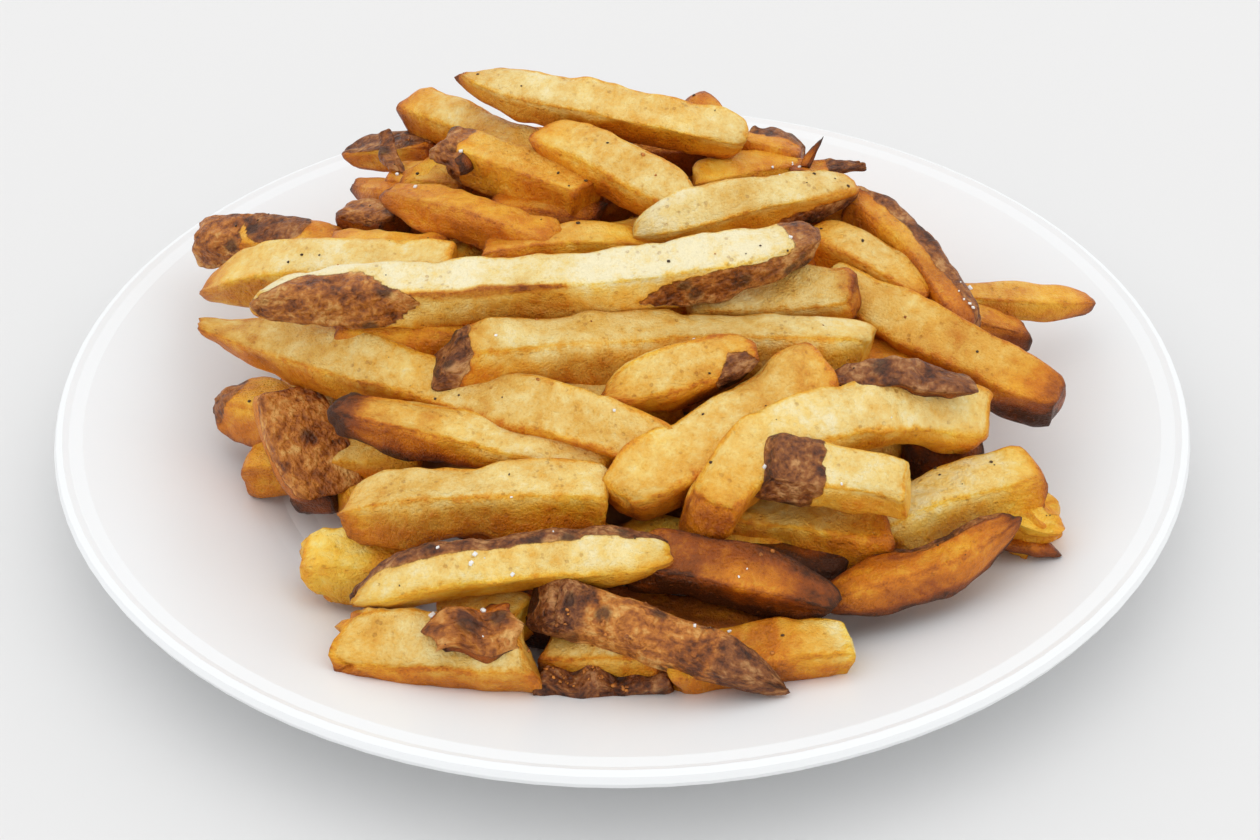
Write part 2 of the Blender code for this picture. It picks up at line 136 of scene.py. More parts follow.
FRIES = (
    Fry("front_left", (-57, -88, 17), (-19, -90, 16), 14, 12, toast=0.25, amber=0.1, roll=32,
        tips=(0.14, 0.04), ragged=(3.4, 2.4), slants=((0, 0), (2, 0)), crumple=0.7),
    Fry("front_left_inner", (-38, -76, 17), (-19, -83, 18), 11, 9, group="golden_fries",
        toast=0.2, amber=0.45, tips=(0.1, 0.05), ragged=(0.6, 2.0)),
    Fry("front_mid", (-16, -85, 14), (9, -90, 15), 11, 11, toast=0.3, amber=0.15, tips=(0.1, 0.1),
        roll=12),
    Fry("front_right", (9, -90, 14), (46, -89, 15), 12, 12, group="amber_fries", toast=0.36,
        amber=1.0, roll=8, tips=(0.0, -0.22), ragged=(0.5, 1.6)),
    Fry("front_skin", (-17, -84, 26), (33, -101, 18), 11, 8, arch=1, end_size=0.2, roll=30,
        group="skin_on_fries", toast=0.5, amber=0.7, tips=(0.3, 0.4), slants=((0, 3), (0, 0)),
        skins=((-0.2, 0.3, 130, 150, 0.95), (0.22, 0.8, 130, 150, -0.1), (0.72, 1.2, 130, 160, 0.9)),
        leans=(None, (0, -0.6))),
    Fry("left_stub", (-66, -61, 17), (-43, -64, 18), 13, 11, end_size=0.8, crumple=0.8, group="golden_fries",
        toast=0.1, amber=0.75, roll=15, tips=(0.06, 0.3), ragged=(3.2, 0.6),
        browned=((0.55, 1.1, 90, 70, 0.15),)),
    Fry("skin_edged", (-56, -82, 25), (9, -74, 29), 12, 11, arch=3, start_size=0.25, end_size=0.35,
        group="skin_on_fries", toast=0.14, amber=0.35, roll=36, tips=(0.16, 0.06),
        skins=((-0.3, 1.2, 64, 46, 0.95),), leans=((0, -0.6), (0, 0.8))),
    Fry("toasted_front", (3, -73, 28), (44, -80, 20), 11, 10, arch=1, end_size=0.5, roll=20,
        group="toasted_fries", toast=0.61, amber=0.75, tips=(0.0, 0.16),
        browned=((-0.1, 1.1, 62, 22, 0.08), (-0.1, 1.1, 238, 30, 0.12), (0.8, 1.2, 130, 200, 0.06))),
    Fry("toasted_under", (24, -63, 20), (48, -66, 18), 11, 9, group="toasted_fries", toast=0.8),
    Fry("toasted_right", (41, -76, 18), (83, -60, 25), 9.5, 8.5, bow=-3, start_size=0.5,
        end_size=0.35, group="toasted_fries", toast=0.46, amber=0.95, tips=(0.12, 0.4),
        skins=((0.3, 1.2, 50, 22, 0.7),), leans=(None, (0, 0.8)),
        browned=((-0.1, 1.1, 58, 24, 0.16), (-0.1, 1.1, 232, 34, 0.26))),
    # The browning on its lower front face is partly real frying and partly painted shade
    Fry("broad_left", (-58, -61, 31), (-3, -61, 33), 12, 12, arch=2, start_size=0.75, toast=0.2,
        amber=0.1, roll=10, tips=(0.2, 0.03), browned=((-0.1, 1.1, 222, 44, 0.1),),
        leans=((0, -0.6), None)),
    Fry("diagonal", (-1, -63, 34), (43, -32, 46), 14, 12, arch=1, toast=0.3, amber=0.3, roll=22,
        tips=(0.0, 0.16), start_size=0.8),
    Fry("arched", (16, -70, 32), (79, -38, 35), 12.5, 12, bow=9, arch=9, peak=0.45, toast=0.2,
        amber=0.3, roll=25, tips=(0.22, 0.1), slants=((0, 3), (0, 0)),
        ragged=(1.3, 0.5)),
    Fry("skin_capped", (28, -60, 42), (60, -63, 37), 12, 10, group="skin_on_fries", toast=0.12,
        amber=-0.1, roll=20, tips=(0.05, 0.05), slants=((0, 2), (0, 0)), ragged=(0.6, 0.6),
        skins=((-0.3, 0.4, 130, 220, 0.8),)),
    Fry("shaded_right", (21, -58, 24), (57, -62, 22), 12, 12, toast=0.33, amber=0.35),
    Fry("pale_right", (55, -58, 20), (90, -46, 26), 13, 13, bow=1, arch=2, group="golden_fries",
        toast=0.13, amber=0.2, tips=(0.1, 0.35)),
    Fry("torn_right", (72, -43, 17), (92, -53, 18), 12, 12, group="amber_fries", toast=0.17,
        amber=0.95, tips=(0.1, 0.1), ragged=(1.0, 4.0)),
    Fry("under_arched", (61, -34, 26), (80, -33, 24), 11, 11, group="toasted_fries", toast=0.6),
    Fry("left_low", (-84, -24, 14), (-44, -30, 21), 12, 12, group="golden_fries", toast=0.2,
        amber=0.4, roll=10, tips=(0.2, 0.1)),
    Fry("left_low_tip", (-72, -33, 12), (-62, -36, 14), 10, 8, group="toasted_fries", toast=0.5,
        amber=0.9, tips=(0.3, 0.3)),
    Fry("left_skin_slab", (-76, -19, 32), (-65, -38, 17), 17, 6, group="skin_on_fries", toast=0.25,
        amber=0.6, tips=(0.1, 0.3), ragged=(1.0, 1.2), skins=((-0.2, 1.2, 90, 82, -0.2),)),
    Fry("left_ragged", (-90, -8, 20), (-70, -23, 24), 11, 11, group="amber_fries", toast=0.36,
        amber=0.8, tips=(0.3, 0.1), ragged=(3.0, 0.5), skins=((-0.2, 0.25, 120, 70, 0.4),)),
    Fry("burnt_end", (-61, -37, 40), (-4, -55, 34), 10, 10, arch=1, group="amber_fries", roll=20,
        toast=0.2, amber=0.4, tips=(0.25, 0.1), ragged=(2.2, 0.5),
        browned=((-0.3, 0.09, 130, 300, 0.4), (0.0, 0.45, 130, 150, 0.14), (0.1, 1.0, 238, 30, 0.2))),
    Fry("long_left", (-93, -3, 36), (10, -53, 39), 12, 12, bow=-1, arch=3, start_size=0.3, roll=28,
        toast=0.2, amber=0.12, tips=(0.2, 0.1), browned=((0.02, 0.2, 120, 100, 0.08),),
        leans=((0, 0.8), None)),
    Fry("second_long", (-38, -32, 50), (55, -23, 44), 11, 12, bow=3, arch=1, peak=0.6,
        group="skin_on_fries", toast=0.18, amber=0.0, roll=5, tips=(0.2, 0.1),
        slants=((0, 4), (0, 0)), skins=((-0.2, 0.035, 150, 200, 0.9),),
        browned=((0.0, 0.12, 150, 90, 0.1), (0.0, 0.7, 222, 34, 0.1))),
    Fry("wedge", (-5, -42, 47), (28, -32, 50), 12, 10, start_size=0.3, end_size=0.6, roll=35,
        group="golden_fries", toast=0.24, amber=0.4, tips=(0.15, 0.2),
        skins=((0.7, 1.0, 188, 62, 0.95),),
        browned=((0.45, 1.1, 234, 34, 0.3),), leans=((0, 0.3), (0, 0.6))),
    # Its golden browning on the lower front face is partly real and partly a painted warm glow of bounce light
    Fry("long_top", (-80, -17, 54), (43, -1, 58), 11, 11, bow=-9, arch=2, peak=0.66,
        start_size=0.5, end_size=0.75, group="skin_on_fries", toast=0.04, amber=-0.2,
        roll=8, tips=(0.12, 0.1),
        skins=((-0.1, 0.3, 166, 76, 0.2), (0.66, 1.1, 195, 46, 0.4), (0.93, 1.2, 150, 120, 0.5)),
        browned=((0.25, 1.0, 215, 50, 0.12), (0.24, 0.56, 148, 14, 0.4)),
        leans=((0, 0), (0, 0.8))),
    Fry("under_long", (-65, -15, 44), (-31, -20, 46), 10, 10, group="amber_fries", toast=0.28,
        amber=0.8),
    Fry("beside_long", (14, -8, 46), (53, -8, 48), 13, 12, end_size=0.8, toast=0.16, amber=-0.3,
        roll=15, tips=(0.1, 0.3)),
    Fry("behind_long", (-32, 6, 50), (7, 10, 50), 10, 10, arch=2, peak=0.6, group="golden_fries",
        toast=0.3, amber=0.75, tips=(0.2, 0.4)),
    Fry("behind_long_end", (-5, 14, 48), (18, 14, 50), 10, 10, group="amber_fries", toast=0.4,
        amber=0.85),
    Fry("left_long", (-100, 20, 36), (-38, 6, 47), 11, 11, start_size=0.3, group="golden_fries",
        toast=0.16, amber=0.3, roll=15, tips=(0.4, 0.1), leans=((0, -0.8), None)),
    Fry("far_left", (-103, 44, 32), (-66, 28, 40), 10, 9, group="amber_fries", toast=0.34,
        amber=0.9, roll=20, tips=(0.2, 0.1), ragged=(1.6, 0.5),
        skins=((-0.3, 0.36, 130, 200, 0.1), (0.34, 0.8, 90, 70, 0.8))),
    Fry("far_left_inner", (-69, 24, 42), (-42, 14, 46), 9, 9, group="amber_fries", toast=0.3,
        amber=0.85, browned=((0.0, 0.8, 225, 50, 0.5),)),
    Fry("left_dark", (-67, 38, 42), (-53, 31, 44), 10, 8, group="toasted_fries", toast=0.5,
        skins=((-0.2, 1.2, 90, 70, 0.35),)),
    Fry("left_tip", (-66, 52, 42), (-48, 37, 46), 8, 7, group="amber_fries", toast=0.38, amber=0.9,
        start_size=0.4),
    Fry("amber_left", (-54, 32, 50), (-14, 7, 53), 11, 10, bow=-1, arch=2, start_size=0.3,
        group="amber_fries", toast=0.32, amber=0.85, tips=(0.3, 0.1), leans=((0, 0.7), None)),
    Fry("shaded_mid", (-31, 27, 50), (-5, 23, 50), 10, 10, group="toasted_fries", toast=0.5),
    Fry("crest_right", (3, 7, 57), (53, 27, 56), 10, 10, bow=-3, arch=2, start_size=0.3,
        end_size=0.7, group="golden_fries", toast=0.12, amber=-0.1, roll=28, tips=(0.1, 0.25),
        skins=((0.6, 1.3, 225, 34, 0.9),), leans=((0, -0.5), (0, 0.6))),
    Fry("crest_right_rear", (16, 29, 56), (43, 42, 52), 10, 9, group="golden_fries", toast=0.27,
        amber=0.6, tips=(0.1, 0.35)),
    Fry("crest_mid", (-17, 38, 62), (19, 10, 57), 11, 11, arch=2, end_size=0.7, group="golden_fries",
        toast=0.19, amber=0.05, roll=25, tips=(0.34, 0.1)),
    Fry("rear_left", (-52, 70, 54), (-15, 38, 55), 10, 9, arch=1, group="golden_fries",
        toast=0.3, amber=0.5, roll=20, tips=(0.3, 0.1)),
    Fry("ragged_left", (-41, 43, 58), (-7, 21, 56), 11, 11, group="amber_fries", toast=0.26,
        amber=0.7, tips=(0.2, 0.1), ragged=(2.0, 0.5), skins=((-0.3, 0.14, 120, 150, 0.4),)),
    Fry("top_rear", (-38, 60, 65), (29, 37, 63), 10, 10, bow=-4, arch=3, start_size=0.2,
        end_size=0.8, group="golden_fries", toast=0.17, amber=0.05, roll=15, tips=(0.3, 0.12),
        browned=((0.0, 1.0, 228, 45, 0.12),), leans=((0, 0.9), (0, 0))),
    Fry("rear_right", (27, 46, 58), (43, 43, 53), 9, 9, group="skin_on_fries", toast=0.3,
        amber=0.7, skins=((-0.1, 1.1, 50, 40, 0.8),)),
    Fry("rear_tip_left", (-9, 62, 64), (1, 36, 56), 8, 7, group="amber_fries", toast=0.4),
    Fry("rear_tip_right", (17, 61, 62), (30, 36, 51), 8, 7, group="amber_fries", toast=0.34),
    Fry("rear_arc", (-68, 66, 42), (-45, 60, 48), 9, 8, group="skin_on_fries", toast=0.34,
        amber=0.8, start_size=0.5, skins=((-0.2, 1.1, 75, 55, 0.9),)),
    Fry("rear_pale", (-56, 47, 46), (-36, 41, 48), 10, 8, group="skin_on_fries", toast=0.24,
        amber=0.4, skins=((0.2, 1.2, 225, 45, 0.7),)),
    Fry("curved_skin", (52, 29, 50), (78, -9, 37), 9, 13, bow=3, arch=1, start_size=0.8,
        end_size=0.8, group="skin_on_fries", toast=0.4, amber=0.75, tips=(0.2, 0.3),
        skins=((-0.1, 1.1, 34, 60, 0.75),)),
    Fry("pale_rear_right", (45, 16, 47), (69, 1, 42), 11, 11, arch=1, toast=0.24, amber=0.35),
    Fry("long_right", (45, 6, 44), (96, -29, 33), 12, 12, arch=1, roll=28, group="amber_fries", toast=0.23,
        amber=0.35, tips=(0.05, 0.4), end_size=0.85,
        browned=((0.5, 1.3, 130, 200, 0.1), (0.55, 1.3, 236, 34, 0.25))),
    Fry("far_right", (62, 16, 34), (111, 20, 28), 8, 6, end_size=0.6, group="amber_fries",
        toast=0.29, amber=0.8, tips=(0.05, 0.35)),
    Fry("far_right_low", (66, 12, 33), (95, 8, 27), 9, 9, group="amber_fries", toast=0.34,
        amber=0.8, tips=(0.1, 0.45)),
    Fry("dark_chip", (45, -37, 49), (74, -38, 46), 7, 3.6, arch=1, start_size=0.4, end_size=0.5,
        group="skin_on_fries", toast=0.6, amber=0.8, roll=20, tips=(0.2, 0.2), crumple=1.2,
        skins=((-0.2, 1.2, 95, 89, 0.95),)),
    Fry("under_second", (36, -10, 36), (72, -18, 34), 10, 9, group="amber_fries", toast=0.4,
        amber=0.8),
    # A deeply browned fry laid low under toasted_front, where the heap shows only a dark gap: its darkness is
    # painted shade
    Fry("toasted_low", (-22, -74, 14), (34, -80, 11), 12, 10, group="toasted_fries", toast=0.7),
)

# Loose scraps of skin and crust, made as thin crumpled fries
SCRAPS = (
    Fry("front_crumple", (-37, -93, 23), (-22, -90, 24), 10, 3, arch=2, toast=0.42, amber=0.95,
        roll=20, ragged=(1.4, 1.4), crumple=2.4, skins=((-0.3, 1.3, 130, 60, 0.15),)),
    Fry("front_strip", (-18, -94, 11), (10, -92, 12), 8, 6, toast=0.5, amber=0.7,
        ragged=(0.8, 0.8), crumple=2.5, skins=((-0.5, 1.5, 130, 300, 1.0),)),
    Fry("rear_strip", (-58, 60, 53), (-54, 46, 49), 3.4, 2.0, toast=0.5, amber=0.6, crumple=0.8,
        skins=((-0.5, 1.5, 90, 300, 0.6),)),
    Fry("rear_spike", (43, 34, 57), (47, 38, 62), 4, 3, end_size=0.3, toast=0.5, amber=1.0,
        crumple=0.6),
    Fry("rear_point", (40, 37, 56), (57, 37, 56), 6, 3, end_size=0.3, toast=0.4, amber=0.8,
        crumple=0.6, skins=((0.5, 1.5, 90, 110, 0.8),)),
    Fry("ragged_flap", (-43, 40, 60), (-36, 34, 61), 8, 4, toast=0.5, amber=0.8,
        ragged=(1.0, 1.0), crumple=1.2, skins=((-0.3, 0.9, 120, 150, 0.5),)),
    Fry("torn_flap_high", (84, -51, 22), (93, -57, 22), 8, 2.6, end_size=0.7, toast=0.12, amber=1.0,
        ragged=(0.5, 2.0), crumple=1.6, tips=(0.1, 0.2)),
    Fry("torn_flap_low", (80, -53, 16), (92, -57, 17), 8, 3, end_size=0.7, toast=0.38, amber=1.0,
        ragged=(0.5, 1.6), crumple=1.4, tips=(0.1, 0.3)),
    Fry("brown_tip", (-4, 14, 53), (7, 8, 53), 5, 3, end_size=0.4, toast=0.5, amber=0.9,
        tips=(0.0, 0.4), crumple=0.8),
)

# Fries laid by rule in rows round a mound: the rows' heights and their numbers
# of fries, the arc they cover, the mound's reach and rise, and its middle.
REAR_ROWS = {
    "rows": ((16, 4), (27, 5), (38, 4), (47, 3)),
    "arc": (22, 158),
    "reach": (80.0, 80.0),
    "rise": 56.0,
    "middle": 8.0,
    "lengths": (40.0, 76.0),
    "seed": 30,
}
INNER_ROWS = {
    "rows": ((13, 9), (22, 8), (31, 6), (38, 4)),
    "arc": (0, 360),
    "reach": (74.0, 68.0),
    "rise": 37.0,
    "middle": 0.0,
    "lengths": (34.0, 62.0),
    "seed": 30,
}
CROWN_ROWS = {
    "rows": ((40, 6), (46, 4)),
    "arc": (0, 360),
    "reach": (54.0, 44.0),
    "rise": 46.0,
    "middle": 14.0,
    "lengths": (34.0, 56.0),
    "seed": 6,
}
ROW_SLANT = 26.0
ROW_PITCH = 0.12

# What salt, pepper and crumbs can land on, and where crumbs and salt lie thickest
TOP_PIECES = ("pale_fries", "golden_fries", "amber_fries", "toasted_fries", "skin_on_fries",
              "rear_fries", "crown_fries", "skin_scraps")
CRUMBED = (((-13, -94), 4), ((-5, -96), 4), ((2, -97), 3))
SALTED = (((-28, -78), 12), ((20, -94), 14), ((-28, -91), 7), ((78, -2), 6), ((40, 30), 8))


# ---------------------------------------------------------------- node trees

class Value:
    """A socket of a node tree. Arithmetic on it adds the Math node that does it."""

    def __init__(self, socket):
        self.socket = socket

    def _math(self, operation, first, second=None):
        tree = self.socket.id_data
        node = tree.nodes.new("ShaderNodeMath")
        node.operation = operation
        for slot, value in zip(node.inputs, (first, second)):
            if isinstance(value, Value):
                tree.links.new(value.socket, slot)
            elif value is not None:
                slot.default_value = value
        return Value(node.outputs[0])

    def __add__(self, other):
        return self._math("ADD", self, other)

    def __radd__(self, other):
        return self._math("ADD", other, self)

    def __sub__(self, other):
        return self._math("SUBTRACT", self, other)

    def __rsub__(self, other):
        return self._math("SUBTRACT", other, self)

    def __mul__(self, other):
        return self._math("MULTIPLY", self, other)

    def __rmul__(self, other):
        return self._math("MULTIPLY", other, self)

    def clamped(self):
        """The same value, kept between 0 and 1."""
        return self._math("MINIMUM", self._math("MAXIMUM", self, 0.0), 1.0)

    def folded(self):
        """0 in creases where the value passes a half, up to 1 away from them."""
        return self._math("ABSOLUTE", self * 2 - 1)

    def sharpened(self, middle, steepness):
        """0 below middle and 1 above it, with a short slope between."""
        return ((self - middle) * steepness + 0.5).clamped()


class Recipe:
    """A material's node tree, with one method for every kind of node."""

    def __init__(self, name):
        self.material = bpy.data.materials.new(name)
        self.material.use_nodes = True
        self.tree = self.material.node_tree
        self.shader = self.tree.nodes["Principled BSDF"]

    def feed(self, socket, value):
        """Link a Value to a socket, or set the socket's own value."""
        if isinstance(value, Value):
            self.tree.links.new(value.socket, socket)
        else:
            socket.default_value = value

    def node(self, kind, settings=None, inputs=None, output=0):
        """Add a node, set it up, fill its sockets and return one output."""
        node = self.tree.nodes.new("ShaderNode" + kind)
        for name, value in (settings or {}).items():
            if name == "stops":
                fill_ramp(node.color_ramp, value)
            else:
                setattr(node, name, value)
        for name, value in (inputs or {}).items():
            self.feed(node.inputs[name], value)
        return Value(node.outputs[output])

    def own(self, name, output="Fac"):
        """An attribute that the piece's mesh carries."""
        return self.node("Attribute", {"attribute_name": name}, output=output)

    def noise(self, place, scale, detail=2.0, roughness=0.5):
        """Smooth noise between 0 and 1, mostly near a half."""
        values = {"Vector": place, "Scale": scale, "Detail": detail, "Roughness": roughness}
        return self.node("TexNoise", inputs=values)

    def cells(self, place, scale, feature="F1", output="Distance"):
        """Distance to the nearest of scattered points, or to the border between two."""
        return self.node("TexVoronoi", {"feature": feature}, {"Vector": place, "Scale": scale}, output)

    def ramp(self, factor, stops):
        """The colour at a factor along a row of colours."""
        return self.node("ValToRGB", {"stops": stops}, {"Fac": factor})

    def blend(self, factor, first, second, kind="MIX"):
        """Two colours blended."""
        settings = {"data_type": "RGBA", "blend_type": kind}
        return self.node("Mix", settings, {0: factor, 6: first, 7: second}, output=2)

    def bump(self, height, distance, strength=1.0, below=None):
        """A normal bent by a height that runs from 0 to 1 over a distance."""
        values = {"Height": height, "Distance": distance, "Strength": strength}
        if below is not None:
            values["Normal"] = below
        return self.node("Bump", inputs=values)

    def surface(self, **values):
        """Fill the shader's sockets, with _ for a space in their names."""
        for name, value in values.items():
            self.feed(self.shader.inputs[name.replace("_", " ")], value)
        return self.material


def linear(red, green, blue):
    """A colour picked on a screen, from 0 to 255, as linear light with full alpha."""
    shares = [channel / 255 for channel in (red, green, blue)]
    lit = [(share + 0.055) ** 2.4 / 1.055 ** 2.4 if share > 0.04045 else share / 12.92 for share in shares]
    return (*lit, 1.0)


def fill_ramp(ramp, stops):
    """Give a colour ramp its stops, each a place and a colour."""
    while len(ramp.elements) < len(stops):
        ramp.elements.new(1.0)
    for element, (place, colour) in zip(ramp.elements, stops):
        element.position = place
        element.color = colour


# ----------------------------------------------------------------- modelling

def deselect_all():
    """Leave nothing selected, out of edit mode."""
    if bpy.context.object and bpy.context.object.mode != "OBJECT":
        bpy.ops.object.mode_set(mode="OBJECT")
    bpy.ops.object.select_all(action="DESELECT")


def make_active(item):
    """Select one object alone."""
    deselect_all()
    item.select_set(True)
    bpy.context.view_layer.objects.active = item


def cut_along(item, axis, cuts):
    """Subdivide the edges that run along one axis, all the way round."""
    make_active(item)
    bpy.ops.object.mode_set(mode="EDIT")
    bpy.ops.mesh.select_mode(type="EDGE")
    bpy.ops.mesh.select_all(action="DESELECT")
    bpy.ops.object.mode_set(mode="OBJECT")
    verts = item.data.vertices
    for edge in item.data.edges:
        first, second = (verts[index].co for index in edge.vertices)
        run = second - first
        edge.select = abs(run[axis]) > 0.9 * run.length
    bpy.ops.object.mode_set(mode="EDIT")
    bpy.ops.mesh.subdivide(number_cuts=cuts)
    bpy.ops.object.mode_set(mode="OBJECT")


def model_stick(name, halves_along, across):
    """A raw stick from -1 to 1 each way, cut into even lengths and strips."""
    deselect_all()
    bpy.ops.mesh.primitive_cube_add(size=2, location=(0, 0, 0))
    stick = bpy.context.object
    stick.name = name
    cut_along(stick, 0, 1)
    cut_along(stick, 0, halves_along - 1)
    cut_along(stick, 1, across - 1)
    cut_along(stick, 2, across - 1)
    return stick


def copy_of(item, name):
    """A copy with a mesh of its own."""
    make_active(item)
    bpy.ops.object.duplicate(linked=False)
    copy = bpy.context.object
    copy.name = name
    copy.data.name = name
    return copy


def read_points(item):
    """The mesh's vertices as rows of three."""
    points = np.empty(len(item.data.vertices) * 3)
    item.data.vertices.foreach_get("co", points)
    return points.reshape(-1, 3)


def write_points(item, points):
    """Move the mesh's vertices to rows of three, given in millimetres."""
    item.data.vertices.foreach_set("co", (points * MM).ravel())
    item.data.update()


def write_attribute(item, name, values):
    """Store one number or one vector for each vertex."""
    kind = "FLOAT_VECTOR" if values.ndim == 2 else "FLOAT"
    field = "vector" if values.ndim == 2 else "value"
    stored = item.data.attributes.new(name, kind, "POINT")
    stored.data.foreach_set(field, values.astype(np.float32).ravel())


def join(items, name, material):
    """Join objects into one piece with one material, shaded smooth."""
    deselect_all()
    for item in items:
        item.select_set(True)
    bpy.context.view_layer.objects.active = items[0]
    if len(items) > 1:
        bpy.ops.object.join()
    piece = bpy.context.object
    piece.name = name
    piece.data.name = name
    piece.data.materials.clear()
    piece.data.materials.append(material)
    bpy.ops.object.shade_smooth()
    return piece


def noise_at(points, size, seed):
    """Smooth noise from -1 to 1 at points, with lumps of about a size."""
    cells = points / size + seed * 7.31
    base = np.floor(cells)
    part = cells - base
    part = part * part * (3 - 2 * part)
    total = np.zeros(len(points))
    for corner in itertools.product((0, 1), repeat=3):
        corner = np.array(corner)
        mixed = np.sin((base + corner) @ np.array((127.1, 311.7, 74.7)) + seed) * 43758.5453
        value = (mixed - np.floor(mixed)) * 2 - 1
        total += np.prod(np.where(corner, part, 1 - part), axis=1) * value
    return total


def smooth_step(values):
    """0 below 0 and 1 above 1, eased between."""
    held = np.clip(values, 0, 1)
    return held * held * (3 - 2 * held)


@functools.cache
def plate_heights():
    """Heights of the plate's upper side at its radii, felt by dropping lines."""
    tree = BVHTree.FromObject(frame["nodes"]["plate"], bpy.context.evaluated_depsgraph_get())
    drops = [tree.ray_cast(Vector((radius, 0, 60)) * MM, Vector((0, 0, -1))) for radius in PLATE_RADII]
    return [spot.z / MM for spot, _normal, _face, _distance in drops]


# --------------------------------------------------------------- one fry

def path_frames(fry, shares):
    """Middles, runs, sides and ups of a fry's path at shares of its length.

    Past its ends the path goes straight on.
    """
    start, end = np.array(fry.start, float), np.array(fry.end, float)
    run = end - start
    side = np.cross((0, 0, 1), run)
    side /= np.linalg.norm(side)
    warp = math.log(0.5) / math.log(fry.peak)

    def middle(share):
        warped = share ** warp
        swell = 4 * warped * (1 - warped)
        lift = np.array((0, 0, fry.arch))
        return start + run * share[:, None] + (side * fry.bow + lift) * swell[:, None]

    step = 0.01
    held = np.clip(shares, step, 1 - step)
    middles = middle(held)
    tangents = (middle(held + step) - middle(held - step)) / (2 * step)
    middles += tangents * (shares - held)[:, None]
    tangents /= np.linalg.norm(tangents, axis=1)[:, None]
    sides = np.cross((0, 0, 1), tangents)
    sides /= np.linalg.norm(sides, axis=1)[:, None]
    return middles, tangents, sides, np.cross(tangents, sides)


def patch_mask(along, turn, grain, patch, seed, soft=0.12):
    """1 inside a patch and 0 outside, with an uneven border.

    A patch that goes less than half round is pointed at both its ends, as peel
    is where a flat cut meets a round potato. A wider one ends squarely.
    """
    first, last, angle, spread = patch[:4]
    across = (turn - angle + 180) % 360 - 180
    reach_along = np.abs(along - (first + last) / 2) / ((last - first) / 2)
    reach_across = np.abs(across) / spread
    if spread < 90:
        reach = reach_along ** 2.4 + reach_across
    else:
        reach = np.maximum(reach_along, reach_across)
    wobble = 0.13 * noise_at(grain, 6.0, seed) + 0.1 * noise_at(grain, 2.0, seed + 1)
    return smooth_step((1 - reach + wobble) / (2 * soft) + 0.5)


def rolled(across, upward, angle):
    """Two parts of a place in the section, turned from up towards the right."""
    return (across * np.cos(angle) - upward * np.sin(angle),
            across * np.sin(angle) + upward * np.cos(angle))


